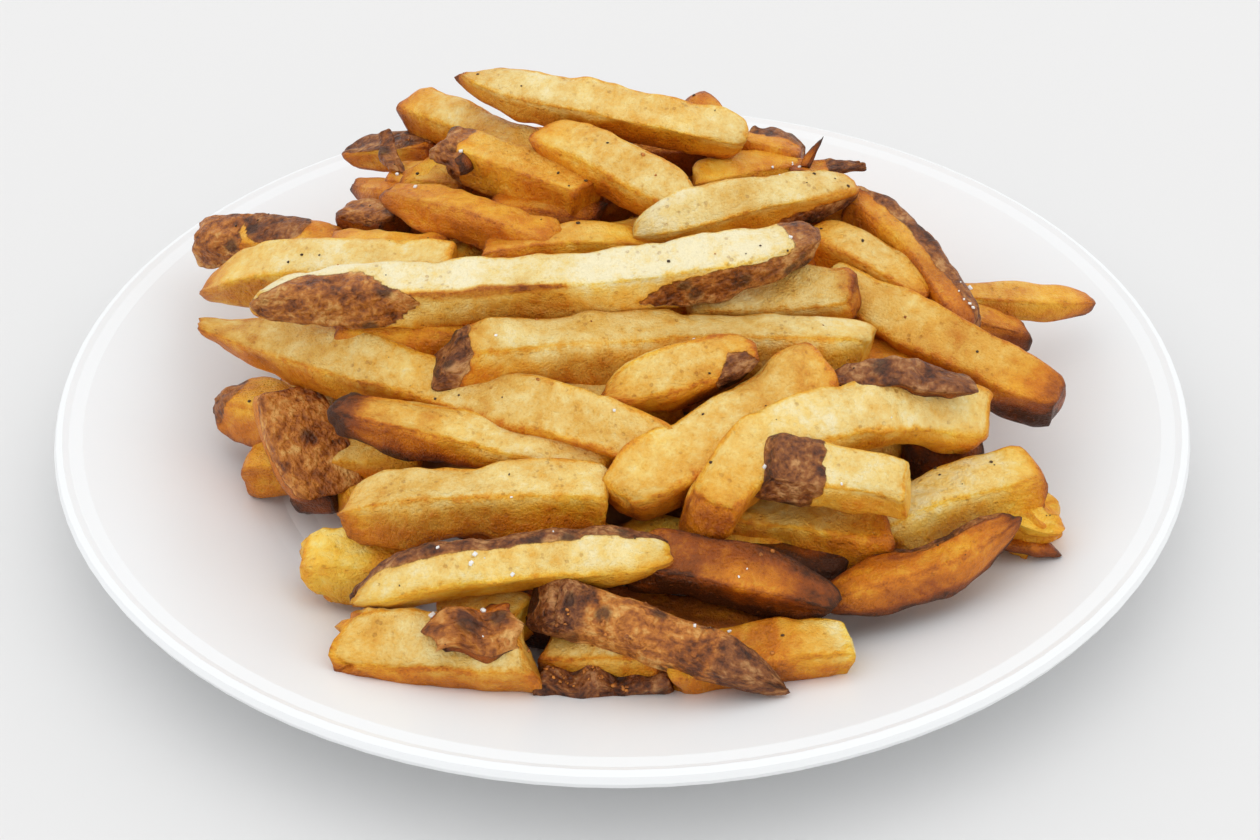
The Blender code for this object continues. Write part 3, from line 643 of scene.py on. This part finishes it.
def shape_fry(item, fry, seed):
    """Give a copy of the raw stick the form of one fry, and its browning."""
    raw = read_points(item)
    draws = random.Random(seed)
    length = np.linalg.norm(np.subtract(fry.end, fry.start))
    flat = raw[:, 1:]
    spread_out = 0.55 * flat + 0.45 * np.sin(flat * math.pi / 2)
    along = (raw[:, 0] + 1) / 2
    turn = np.degrees(np.arctan2(raw[:, 2], raw[:, 1])) + fry.roll
    local = np.column_stack((along * length, spread_out * (fry.width / 2, fry.height / 2)))
    grain = local + np.array([draws.uniform(0, 400) for _axis in range(3)])

    # Taper the ends, and let the section swell and shrink along the fry
    from_start = along * length
    from_end = length - from_start
    run_only = local * (1, 0, 0)
    size = np.ones(len(raw))
    shift = np.zeros((len(raw), 2))
    half_section = np.array((fry.width, fry.height)) / 2 * ROUNDED_GAIN
    for near, end_size, lean in (
        (from_start, fry.start_size, fry.leans[0]),
        (from_end, fry.end_size, fry.leans[1]),
    ):
        reach = max(TIP_LENGTH * length, 9.0) * (1.1 + 0.8 * (1 - end_size))
        ease = np.sin(np.clip(near / reach, 0, 1) * math.pi / 2) ** 0.85
        lost = (1 - end_size) * (1 - ease)
        chance = (draws.uniform(-0.7, 0.7), draws.uniform(-0.7, 0.7))
        shift += lost[:, None] * half_section * (lean or chance)
        size *= 1 - lost
        size *= 1 - draws.uniform(0.04, 0.2) * np.exp(-near / 3.2)
    wide = size * (1 + 0.11 * noise_at(run_only, 21.0, seed) + 0.05 * noise_at(run_only, 8.0, seed + 5))
    tall = size * (1 + 0.11 * noise_at(run_only, 19.0, seed + 20) + 0.05 * noise_at(run_only, 7.0, seed + 21))
    half = np.column_stack((np.full(len(raw), length / 2), wide * half_section[0], tall * half_section[1]))
    centred = np.column_stack(((along - 0.5) * length, spread_out * half[:, 1:]))

    # Round every edge and corner
    radius = CORNER_RADIUS * draws.uniform(0.75, 1.3) * (1 + 0.6 * noise_at(grain, 12.0, seed + 22))
    radius *= 1 - 0.2 * np.exp(-np.minimum(from_start, from_end) / 3.0)
    radius = np.minimum(radius, half[:, 1:].min(axis=1) * 0.8)
    inner = np.clip(centred, -(half - radius[:, None]), half - radius[:, None])
    away = centred - inner
    outward = away / np.maximum(np.linalg.norm(away, axis=1), 1e-6)[:, None]
    rounded = inner + outward * radius[:, None]

    # The cut section leans a little and is a little wider above or below
    upper = raw[:, 2].copy()
    rounded[:, 1] *= 1 + draws.uniform(-0.13, 0.13) * upper
    rounded[:, 1] += draws.uniform(-0.11, 0.11) * rounded[:, 2]

    # Dry faces sag between their edges
    edge_near = np.abs(raw).copy()
    edge_near[:, 0] = np.clip(1 - np.minimum(from_start, from_end) / 5.0, 0, 1)
    ordered = np.sort(edge_near, axis=1)
    arris = smooth_step((ordered[:, 1] - 0.45) / 0.55)
    rounded -= outward * (FACE_SAG * (1 - ordered[:, 1] ** 2) * size)[:, None]

    # The skins and the browned patches
    skin = np.zeros(len(raw))
    darkness = np.zeros(len(raw))
    for number, patch in enumerate(fry.skins):
        mask = patch_mask(along, turn, grain, patch, seed + number * 3)
        skin = np.maximum(skin, mask)
        darkness = darkness * (1 - mask) + mask * patch[4]
    toast = np.full(len(raw), float(fry.toast))
    for number, patch in enumerate(fry.browned):
        toast += patch[4] * patch_mask(along, turn, grain, patch, seed + 40 + number * 3, 0.35)

    # Lumps, wrinkles along the run, and rough skin
    stretched = grain * (0.3, 1.0, 1.0)
    relief = 1.0 * noise_at(grain, 12.0, seed + 2) + 0.6 * noise_at(grain, 5.5, seed + 3)
    relief += 0.15 * noise_at(stretched, 2.4, seed + 4) + 0.1 * noise_at(grain, 1.6, seed + 6)
    relief += 0.32 * arris * noise_at(grain, 3.2, seed + 7)
    relief += skin * (0.4 * noise_at(grain, 3.0, seed + 8) + 0.22 * noise_at(grain, 1.5, seed + 9) + 0.15)
    relief += 0.4 * fry.crumple * noise_at(grain, 2.6, seed + 26)
    steady = 1.0 if fry.crumple else min(1.0, (fry.height / 9) ** 1.5)
    relief *= steady
    rounded += outward * relief[:, None]

    rounded[:, 1:] += shift

    # Slanted and ragged ends
    for sign, near, slant, ragged in (
        (1, from_start, fry.slants[0], fry.ragged[0]),
        (-1, from_end, fry.slants[1], fry.ragged[1]),
    ):
        zone = np.clip(1 - near / 16.0, 0, 1) ** 2
        sideways = slant[0] + draws.uniform(-1.6, 1.6)
        upwards = slant[1] + draws.uniform(-1.2, 1.2)
        rounded[:, 0] += sign * zone * (sideways * spread_out[:, 0] + upwards * spread_out[:, 1])
        torn = np.clip(1 - near / (3.0 + 2.2 * ragged), 0, 1) ** 2
        section = grain * (0.1, 1, 1)
        uneven = 0.8 * noise_at(section, 3.4, seed + 11) + 0.8 * noise_at(section, 8.0, seed + 12)
        rounded[:, 0] += torn * ragged * size * uneven
        rounded += outward * (torn * ragged * 0.4 * noise_at(grain, 2.6, seed + 10))[:, None]

    # Crumple thin scraps, twist, and lay the fry on its path
    if fry.crumple:
        rounded[:, 2] += fry.crumple * noise_at(grain * (1, 0.6, 0), 5.0, seed + 13)
        rounded[:, 1] += fry.crumple * 0.6 * noise_at(grain * (1, 0, 0), 6.0, seed + 14)
    turned = math.radians(fry.roll) + math.radians(fry.twist or draws.uniform(-14, 14)) * (along - 0.5)
    across, upward = rolled(rounded[:, 1], rounded[:, 2], turned)
    across += steady * 1.3 * noise_at(run_only, 32.0, seed + 23) * (1 - fry.crumple / 4)
    upward += steady * 0.9 * noise_at(run_only, 28.0, seed + 24)
    shares = rounded[:, 0] / length + 0.5
    middles, _tangents, sides, ups = path_frames(fry, shares)
    placed = middles + sides * across[:, None] + ups * upward[:, None]
    out_across, out_upward = rolled(outward[:, 1], outward[:, 2], turned)
    facing = sides * out_across[:, None] + ups * out_upward[:, None]

    # Browner at the ends and along the edges. Faces turned sideways and down get more toast and amber: partly
    # real browning, partly painted shade and a painted warm glow of light through the potato
    golden = np.zeros(len(raw))
    for near, tip in ((from_start, fry.tips[0]), (from_end, fry.tips[1])):
        ring = np.exp(-((np.abs(flat).max(axis=1) - 0.7) / 0.25) ** 2)
        toast += 0.025 + tip * (0.6 * np.exp(-(near / 5.5) ** 1.5) + (0.25 + 0.3 * ring) * np.exp(-near / 1.8))
        golden += 2.2 * tip * np.exp(-(near / 9.0) ** 2)
    toast += 0.06 * arris * noise_at(grain, 8.0, seed + 17)
    toast += 0.36 * max(0.0, fry.toast - 0.3) * noise_at(stretched, 2.8, seed + 27)
    toast += 0.13 * noise_at(grain, 15.0, seed + 15) + 0.06 * noise_at(grain, 4.0, seed + 16)
    # Painted shade and painted warm glow: faces turned away from the light above are made darker and more
    # amber, and all the rest a little lighter
    downward_shade = np.clip(0.6 - facing[:, 2], 0, 1)
    toast += 0.2 * downward_shade - 0.02
    golden += 0.85 * downward_shade + 0.35 * noise_at(grain, 18.0, seed + 18) + 0.5 * arris ** 2

    # What would sink through the plate lies flat on it
    radii = np.hypot(placed[:, 0], placed[:, 1])
    resting = np.interp(radii, PLATE_RADII, plate_heights()) - REST_DEPTH
    placed[:, 2] = np.maximum(placed[:, 2], resting)

    write_points(item, placed)
    write_attribute(item, "grain", grain)
    write_attribute(item, "toast", np.clip(toast, 0, 1))
    write_attribute(item, "amber", np.clip(fry.amber + golden, 0, 1))
    write_attribute(item, "skin", skin)
    write_attribute(item, "darkness", darkness)
    write_attribute(item, "edge", arris * (1 + 0.5 * noise_at(grain, 10.0, seed + 19)))


def fries_in_rows(plan):
    """Fries laid round a mound in rows, each with its own slant, size and bow."""
    draws = random.Random(plan["seed"])
    reach_x, reach_y = plan["reach"]
    low_angle, high_angle = plan["arc"]
    fries = []
    for height, count in plan["rows"]:
        shrink = math.sqrt(1 - ((height - FLOOR_TOP) / plan["rise"]) ** 2)
        for index in range(count):
            share = (index + 0.5 + draws.uniform(-0.25, 0.25)) / count
            angle = math.radians(low_angle + (high_angle - low_angle) * share)
            across = reach_x * math.cos(angle)
            inward = reach_y * math.sin(angle)
            middle = Vector((across * shrink, plan["middle"] + inward * shrink, height))
            heading = math.atan2(reach_y * math.cos(angle), -reach_x * math.sin(angle))
            heading += math.radians(draws.uniform(-ROW_SLANT, ROW_SLANT))
            pitch = draws.uniform(-ROW_PITCH, ROW_PITCH)
            run = Vector((math.cos(heading), math.sin(heading), pitch)).normalized()
            half = run * draws.uniform(*plan["lengths"]) / 2
            width = draws.uniform(9, 12)
            depth = draws.uniform(9, 12)
            bow = draws.uniform(-3, 3)
            ends = (draws.choice((0.4, 0.7, 1.0)), draws.choice((0.5, 0.8, 1.0)))
            fries.append(Fry("row", tuple(middle - half), tuple(middle + half), width, depth, bow,
                             0, 0.5, *ends))
    return fries


def browned_by_chance(fry, draws):
    """Give a fry laid by rule its browning and, now and then, some skin."""
    fry.toast = draws.choice((0.18, 0.24, 0.3, 0.36, 0.44))
    fry.amber = draws.uniform(0.3, 1.0)
    fry.tips = (draws.uniform(0.1, 0.4), draws.uniform(0.1, 0.4))
    fry.ragged = (draws.uniform(0.3, 1.0), draws.uniform(0.3, 1.0))
    fry.roll = draws.uniform(-35, 35)
    if draws.random() < 0.35:
        first = draws.uniform(-0.2, 0.6)
        last = first + draws.uniform(0.3, 0.8)
        angle = draws.uniform(0, 360)
        fry.skins = ((first, last, angle, draws.uniform(25, 60), draws.uniform(0.2, 0.8)),)


# -------------------------------------------------------------- materials

def potato_material():
    """Fried potato: cream to dark brown by its toast, with patches of skin."""
    look = bpy.context.scene.potato_look
    make = Recipe("fried_potato")
    grain = make.own("grain", "Vector")
    broad = make.noise(grain, 0.13, 2)
    mottle = make.noise(grain, 0.42, 2, 0.65)
    fine = make.noise(grain, 1.9, 2, 0.7)

    # The cut edges carry a broken crust, browner and more golden than the faces
    crust = (make.own("edge") + (fine - 0.5) * 0.9 + (mottle - 0.5) * 1.4).sharpened(0.8, 1.2)
    toast = make.own("toast") + (broad - 0.5) * 0.36 + (mottle - 0.5) * 0.32 + crust * 0.12
    toast = toast + (fine - 0.5) * 0.2 + make.own("skin") * 0.25
    cream = make.ramp(toast, (
        (0.00, linear(250, 238, 196)),
        (0.15, linear(244, 219, 147)),
        (0.32, linear(228, 182, 88)),
        (0.50, linear(198, 131, 31)),
        (0.70, linear(144, 76, 12)),
        (0.95, linear(62, 28, 8)),
    ))
    amber = make.ramp(toast, (
        (0.00, linear(255, 226, 118)),
        (0.15, linear(252, 202, 66)),
        (0.32, linear(240, 168, 34)),
        (0.50, linear(214, 122, 12)),
        (0.70, linear(156, 74, 6)),
        (0.95, linear(66, 28, 6)),
    ))
    flesh = make.blend((make.own("amber") + crust * 0.4 + (mottle - 0.5) * 0.8).clamped(), cream, amber)

    freckle = 1 - make.cells(grain, 0.5).sharpened(0.2, 9)
    freckle = freckle * (broad * 0.5 + mottle * 0.5).sharpened(0.52, 12)
    flesh = make.blend(freckle * 0.35, flesh, linear(158, 84, 22))

    # Skin: blotched, faintly pebbled and creased, with a few dark spots
    creases = make.noise(grain, 0.3, 2, 0.6).folded()
    pebbles = 1 - make.cells(grain, 0.7)
    tone = (broad - 0.5) * 1.3 + (mottle - 0.5) * 0.9 + (fine - 0.5) * 0.3 + 0.52
    # The skin is darker in its pits and creases, where its bump sinks: partly its own colour, partly painted
    # shade in the hollows
    tone = tone - (pebbles - 0.5) * 0.22 + (creases.sharpened(0.1, 5) - 0.9) * 0.14
    skin_tone = make.ramp(tone, (
        (0.10, linear(92, 42, 14)),
        (0.34, linear(160, 88, 30)),
        (0.56, linear(204, 126, 48)),
        (0.85, linear(236, 182, 104)),
    ))
    dark_tone = make.ramp(tone, (
        (0.15, linear(50, 22, 16)),
        (0.38, linear(102, 52, 27)),
        (0.58, linear(146, 86, 43)),
        (0.88, linear(202, 146, 92)),
    ))
    spots = 1 - make.cells(grain, 0.13).sharpened(0.24, 7)
    spots = spots * mottle.sharpened(0.42, 8)
    darkness = (make.own("darkness") + (broad - 0.5) * 0.5).clamped()
    rind = make.blend(darkness, skin_tone, dark_tone)
    rind = make.blend(spots * 0.75, rind, linear(44, 24, 20))
    skin = (make.own("skin") + (mottle - 0.5) * 0.5 + (fine - 0.5) * 0.3).sharpened(0.5, 5)
    border = (skin * (1 - skin) * 4).clamped()
    colour = make.blend(skin, flesh, rind)
    colour = make.blend(border * 0.4, colour, linear(120, 62, 28))

    wrinkles = mottle * 0.7 + fine * 0.5 - freckle * 0.2
    rough_skin = creases * 1.3 - pebbles * 0.5 + fine * 0.5
    height = wrinkles * (1 - skin) + rough_skin * skin
    roughness = look.roughness + (mottle - 0.5) * 0.2 + skin * 0.04
    return make.surface(
        Base_Color=colour,
        Roughness=roughness.clamped(),
        Normal=make.bump(height, look.wrinkle_depth, 0.85),
        Subsurface_Weight=look.translucency,
        Subsurface_Radius=(1.0, 0.45, 0.15),
        Subsurface_Scale=0.0025,
        Specular_IOR_Level=0.45,
        Specular_Tint=(1.0, 0.93, 0.82, 1.0),
    )


def core_material():
    """Deep brown, for what is only glimpsed between fries."""
    make = Recipe("heap_core")
    place = make.node("TexCoord", output="Object")
    tone = make.noise(place, 140, 4, 0.6)
    colour = make.ramp(tone, ((0.3, linear(104, 54, 14)), (0.6, linear(172, 106, 38))))
    return make.surface(Base_Color=colour, Roughness=0.7 + (tone - 0.5) * 0.2,
                        Normal=make.bump(tone, 0.001))


def glaze_material():
    """White glaze: nearly even, with the faint ripple of a fired surface."""
    look = bpy.context.scene.plate_look
    make = Recipe("white_glaze")
    place = make.node("TexCoord", output="Object")
    broad = make.noise(place, 14, 2)
    fine = make.noise(place, 220, 2)
    white = (*look.colour, 1.0)
    warm = (look.colour[0] * 0.99, look.colour[1] * 0.985, look.colour[2] * 0.975, 1.0)
    colour = make.blend(broad.sharpened(0.5, 2) * 0.6, white, warm)
    roughness = look.roughness + (broad - 0.5) * 0.06 + (fine - 0.5) * 0.03
    return make.surface(
        Base_Color=colour,
        Roughness=roughness,
        Normal=make.bump(broad * 0.8 + fine * 0.04, 0.0008, 0.35),
        Specular_IOR_Level=0.5,
    )


def grain_material(name, dark, light, scale, roughness):
    """A rough grain that runs between two colours."""
    make = Recipe(name)
    place = make.node("TexCoord", output="Object")
    tone = make.noise(place, scale, 3, 0.6)
    colour = make.ramp(tone, ((0.35, linear(*dark)), (0.65, linear(*light))))
    return make.surface(Base_Color=colour, Roughness=roughness + (tone - 0.5) * 0.2,
                        Normal=make.bump(tone, 0.0002, 0.6))


def floor_material():
    """A pale, even sweep."""
    look = bpy.context.scene.stage_look
    make = Recipe("pale_floor")
    place = make.node("TexCoord", output="Object")
    tone = make.noise(place, 3, 2)
    near = (*look.floor_colour, 1.0)
    far = tuple(channel * 0.985 for channel in look.floor_colour) + (1.0,)
    return make.surface(Base_Color=make.blend(tone, near, far), Roughness=0.6 + (tone - 0.5) * 0.1)


# --------------------------------------------------------------- settings

class PotatoLook(bpy.types.PropertyGroup):
    """How the fries look."""
    roughness: FloatProperty(name="Roughness", description="How dull the oiled surface is",
                             default=0.39, min=0, max=1, subtype="FACTOR")
    wrinkle_depth: FloatProperty(name="Wrinkle depth", description="Depth of the finest wrinkles",
                                 default=0.0013, min=0, max=0.003, unit="LENGTH", precision=4)
    translucency: FloatProperty(name="Translucency", description="How far light goes into the potato",
                                default=0.0, min=0, max=1, subtype="FACTOR")
    seed: IntProperty(name="Seed", description="Where the lumps and wrinkles fall", default=100, min=0)


class PlateLook(bpy.types.PropertyGroup):
    """How the plate looks."""
    colour: FloatVectorProperty(name="Glaze", description="Colour of the glaze", subtype="COLOR",
                                default=(0.877, 0.896, 0.910), min=0, max=1)
    roughness: FloatProperty(name="Roughness", description="How soft the glaze's reflections are",
                             default=0.34, min=0, max=1, subtype="FACTOR")


class ScatterLook(bpy.types.PropertyGroup):
    """How much lies scattered on the fries."""
    crumbs: IntProperty(name="Crumbs", description="How many crumbs", default=72, min=0)
    salt: IntProperty(name="Salt", description="How many flakes of salt", default=50, min=0)
    pepper: IntProperty(name="Pepper", description="How many flecks of pepper", default=86, min=0)


class StageLook(bpy.types.PropertyGroup):
    """The camera, the lights and the floor."""
    floor_colour: FloatVectorProperty(name="Floor", description="Colour of the floor", subtype="COLOR",
                                      default=(0.775, 0.775, 0.775), min=0, max=1)
    lens: FloatProperty(name="Lens", description="Focal length of the camera", default=70, min=10,
                        unit="CAMERA")
    sky: FloatProperty(name="Sky", description="Strength of the even light all round", default=1.05,
                       min=0)
    softbox: FloatProperty(name="Softbox", description="Power of the large light overhead, in watts",
                           default=2.3, min=0, unit="POWER")


# -------------------------------------------------------------- operators

def settle(piece, *nodes):
    """Attach a finished piece to the root body, and hide the solids it takes the place of."""
    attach(piece, "root")
    if nodes:
        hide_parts(*nodes)


def stick_for(sticks, length):
    """The raw stick whose cuts suit a length."""
    for limit, stick in sticks:
        if length <= limit:
            return stick
    return sticks[-1][1]


def lay_fries(fries, sticks, seed, material):
    """Shape each fry and join them group by group."""
    groups = {}
    for number, fry in enumerate(fries):
        length = (Vector(fry.end) - Vector(fry.start)).length
        item = copy_of(stick_for(sticks, length), fry.name)
        shape_fry(item, fry, seed + number)
        groups.setdefault(fry.group, []).append(item)
    for name, items in groups.items():
        settle(join(items, name, material), "fries_heap")


def remove(items):
    """Take raw forms out of the scene once nothing more is copied from them."""
    for item in items:
        bpy.data.objects.remove(item, do_unlink=True)


class FRIES_OT_plate(bpy.types.Operator):
    """Glaze the plate"""
    bl_idname = "fries.plate"
    bl_label = "Glaze the plate"

    def execute(self, context):
        plate = frame["nodes"]["plate"]
        glaze = glaze_material()
        plate.data.materials.clear()
        plate.data.materials.append(glaze)
        return {"FINISHED"}


class FRIES_OT_shown(bpy.types.Operator):
    """Model the fries that show, each by its own line of the table"""
    bl_idname = "fries.shown"
    bl_label = "Fries that show"

    def execute(self, context):
        short = model_stick("short_stick", 22, 10)
        medium = model_stick("medium_stick", 36, 10)
        long = model_stick("long_stick", 62, 10)
        sticks = ((30, short), (64, medium), (200, long))
        potato = potato_material()
        lay_fries(FRIES, sticks, context.scene.potato_look.seed, potato)
        remove((short, medium, long))
        return {"FINISHED"}


class FRIES_OT_rows(bpy.types.Operator):
    """Lay the fries behind and beneath in rows"""
    bl_idname = "fries.rows"
    bl_label = "Fries laid in rows"

    def execute(self, context):
        stick = model_stick("row_stick", 20, 7)
        potato = bpy.data.materials["fried_potato"]
        draws = random.Random(11)
        fries = []
        for group, plan in (
            ("rear_fries", REAR_ROWS),
            ("inner_fries", INNER_ROWS),
            ("crown_fries", CROWN_ROWS),
        ):
            for fry in fries_in_rows(plan):
                browned_by_chance(fry, draws)
                fry.group = group
                fries.append(fry)
        lay_fries(fries, ((1000, stick),), context.scene.potato_look.seed + 200, potato)
        remove((stick,))
        return {"FINISHED"}


class FRIES_OT_scraps(bpy.types.Operator):
    """Model the loose scraps of skin"""
    bl_idname = "fries.scraps"
    bl_label = "Scraps of skin"

    def execute(self, context):
        stick = model_stick("scrap_stick", 24, 8)
        for scrap in SCRAPS:
            scrap.group = "skin_scraps"
        potato = bpy.data.materials["fried_potato"]
        lay_fries(SCRAPS, ((1000, stick),), context.scene.potato_look.seed + 400, potato)
        remove((stick,))
        return {"FINISHED"}


class FRIES_OT_core(bpy.types.Operator):
    """Model the smaller core under the fries"""
    bl_idname = "fries.core"
    bl_label = "Core"

    def execute(self, context):
        deselect_all()
        bpy.ops.mesh.primitive_ico_sphere_add(subdivisions=5, radius=1, location=(0, 0, 0))
        core = bpy.context.object
        points = read_points(core)
        lumps = 1 + 0.10 * noise_at(points, 0.5, 3) + 0.06 * noise_at(points, 0.22, 5)
        placed = points * (60, 54, 31) * lumps[:, None]
        placed[:, 1] += 2
        placed[:, 2] = np.maximum(placed[:, 2], 0) + FLOOR_TOP + 0.8
        write_points(core, placed)
        settle(join([core], "heap_core", core_material()), "fries_heap")
        return {"FINISHED"}


def upward_places(count, seed, clusters=()):
    """Points on top of the fries with the normals there, found by dropping lines.

    Most of them fall near the clusters, each a middle and a reach.
    """
    draws = random.Random(seed)
    trees = []
    graph = bpy.context.evaluated_depsgraph_get()
    for piece in bpy.data.objects:
        if piece.name in TOP_PIECES:
            trees.append(BVHTree.FromObject(piece, graph))
    places = []
    while len(places) < count:
        if clusters and draws.random() < 0.7:
            (across, inward), reach = draws.choice(clusters)
            across += draws.gauss(0, reach / 2)
            inward += draws.gauss(0, reach / 2)
        else:
            across = draws.uniform(-98, 98)
            inward = draws.uniform(-100, 68)
        above = Vector((across, inward, 120)) * MM
        hits = [tree.ray_cast(above, Vector((0, 0, -1))) for tree in trees]
        hits = [hit for hit in hits if hit[0] is not None]
        if not hits:
            continue
        spot, normal, _face, _distance = max(hits, key=lambda hit: hit[0].z)
        if normal.z > 0.3:
            places.append((spot, normal))
    return places


def scatter(raw, name, places, sizes, flatness, seed, material):
    """Lay roughened copies of a raw bit at places, and join them."""
    draws = random.Random(seed)
    form = read_points(raw)
    items = []
    for number, (spot, normal) in enumerate(places):
        item = copy_of(raw, name)
        size = draws.uniform(*sizes) * draws.uniform(0.6, 1.0)
        rough = form * (1 + 0.35 * noise_at(form + number * 3.1, 0.8, seed))[:, None]
        rough = rough * (1.0, draws.uniform(0.55, 1.0), flatness) * size
        spin = Matrix.Rotation(draws.uniform(0, 2 * math.pi), 3, "Z")
        tilt = normal.to_track_quat("Z", "Y").to_matrix()
        turned = rough @ np.array(tilt @ spin).T
        middle = np.array(spot) / MM + np.array(normal) * size * flatness * 0.6
        write_points(item, turned + middle)
        items.append(item)
    remove((raw,))
    settle(join(items, name, material), "fries_heap")


class FRIES_OT_crumbs(bpy.types.Operator):
    """Scatter crumbs of browned crust"""
    bl_idname = "fries.crumbs"
    bl_label = "Crumbs"

    def execute(self, context):
        deselect_all()
        bpy.ops.mesh.primitive_ico_sphere_add(subdivisions=2, radius=1, location=(0, 0, 0))
        raw = bpy.context.object
        browned = grain_material("browned_crumb", (110, 52, 12), (214, 134, 50), 900, 0.6)
        places = upward_places(context.scene.scatter_look.crumbs, 21, CRUMBED)
        scatter(raw, "crumbs", places, (0.25, 0.7), 0.6, 22, browned)
        return {"FINISHED"}


class FRIES_OT_salt(bpy.types.Operator):
    """Scatter flakes of salt"""
    bl_idname = "fries.salt"
    bl_label = "Salt"

    def execute(self, context):
        deselect_all()
        bpy.ops.mesh.primitive_cube_add(size=1.6, location=(0, 0, 0))
        raw = bpy.context.object
        bpy.ops.object.mode_set(mode="EDIT")
        bpy.ops.mesh.select_all(action="SELECT")
        bpy.ops.mesh.bevel(offset=0.25, segments=1)
        bpy.ops.object.mode_set(mode="OBJECT")
        flake = grain_material("salt_flake", (226, 224, 220), (250, 250, 248), 1500, 0.35)
        places = upward_places(context.scene.scatter_look.salt, 31, SALTED)
        scatter(raw, "salt", places, (0.22, 0.8), 0.6, 32, flake)
        return {"FINISHED"}


class FRIES_OT_pepper(bpy.types.Operator):
    """Scatter flecks of ground pepper"""
    bl_idname = "fries.pepper"
    bl_label = "Pepper"

    def execute(self, context):
        deselect_all()
        bpy.ops.mesh.primitive_ico_sphere_add(subdivisions=1, radius=1, location=(0, 0, 0))
        raw = bpy.context.object
        ground = grain_material("ground_pepper", (40, 27, 16), (96, 64, 36), 1500, 0.7)
        places = upward_places(context.scene.scatter_look.pepper, 41)
        scatter(raw, "pepper", places, (0.22, 0.62), 0.45, 42, ground)
        return {"FINISHED"}


class FRIES_OT_stage(bpy.types.Operator):
    """Set the floor, the lights and the camera"""
    bl_idname = "fries.stage"
    bl_label = "Stage"

    def execute(self, context):
        look = context.scene.stage_look
        deselect_all()
        bpy.ops.mesh.primitive_plane_add(size=8, location=(0, 0, PLATE_BOX[0].z))
        floor = bpy.context.object
        floor.name = "floor"
        floor.data.materials.append(floor_material())

        world = bpy.data.worlds.new("studio")
        world.use_nodes = True
        sky = world.node_tree.nodes["Background"]
        sky.inputs["Color"].default_value = (1.0, 1.0, 1.0, 1.0)
        sky.inputs["Strength"].default_value = look.sky
        context.scene.world = world

        bpy.ops.object.light_add(type="AREA", location=(0.05, -0.05, 1.4))
        softbox = bpy.context.object
        softbox.name = "softbox"
        softbox.data.shape = "RECTANGLE"
        softbox.data.size = 2.0
        softbox.data.size_y = 1.6
        softbox.data.energy = look.softbox
        aim = Vector((0, 0, 0.03)) - softbox.location
        softbox.rotation_euler = aim.to_track_quat("-Z", "Y").to_euler()

        data = bpy.data.cameras.new("camera")
        data.lens = look.lens
        data.sensor_width = 36
        camera = bpy.data.objects.new("camera", data)
        context.scene.collection.objects.link(camera)
        place = Vector((0.0018, -0.4637, 0.3511))
        target = Vector((0.0018, 0.0, 0.0094))
        facing = (target - place).to_track_quat("-Z", "Y").to_matrix()
        roll = Matrix.Rotation(math.radians(-0.24), 3, "Z")
        camera.matrix_world = Matrix.Translation(place) @ (facing @ roll).to_4x4()
        context.scene.camera = camera
        context.scene.view_settings.view_transform = "Standard"
        return {"FINISHED"}


class FRIES_PT_panel(bpy.types.Panel):
    """The steps in the order they are made"""
    bl_idname = "FRIES_PT_panel"
    bl_label = "Plate of fries"
    bl_space_type = "VIEW_3D"
    bl_region_type = "UI"
    bl_category = "Fries"

    def draw(self, context):
        layout = self.layout
        for group in (context.scene.plate_look, context.scene.potato_look,
                      context.scene.scatter_look, context.scene.stage_look):
            box = layout.box()
            for name in group.__annotations__:
                box.prop(group, name)
        for operator in OPERATORS:
            layout.operator(operator.bl_idname)


OPERATORS = (
    FRIES_OT_plate,
    FRIES_OT_shown,
    FRIES_OT_rows,
    FRIES_OT_core,
    FRIES_OT_scraps,
    FRIES_OT_crumbs,
    FRIES_OT_salt,
    FRIES_OT_pepper,
    FRIES_OT_stage,
)
CLASSES = (PotatoLook, PlateLook, ScatterLook, StageLook, *OPERATORS, FRIES_PT_panel)


def register():
    """Add the classes and their settings to Blender."""
    for item in CLASSES:
        bpy.utils.register_class(item)
    bpy.types.Scene.potato_look = PointerProperty(type=PotatoLook)
    bpy.types.Scene.plate_look = PointerProperty(type=PlateLook)
    bpy.types.Scene.scatter_look = PointerProperty(type=ScatterLook)
    bpy.types.Scene.stage_look = PointerProperty(type=StageLook)


def unregister():
    """Take the settings and the classes out again."""
    for name in ("potato_look", "plate_look", "scatter_look", "stage_look"):
        delattr(bpy.types.Scene, name)
    for item in reversed(CLASSES):
        bpy.utils.unregister_class(item)


def main():
    """Make every piece in order."""
    register()
    bpy.ops.fries.plate()
    bpy.ops.fries.shown()
    bpy.ops.fries.rows()
    bpy.ops.fries.core()
    bpy.ops.fries.scraps()
    bpy.ops.fries.crumbs()
    bpy.ops.fries.salt()
    bpy.ops.fries.pepper()
    bpy.ops.fries.stage()


if __name__ == "__main__":
    main()
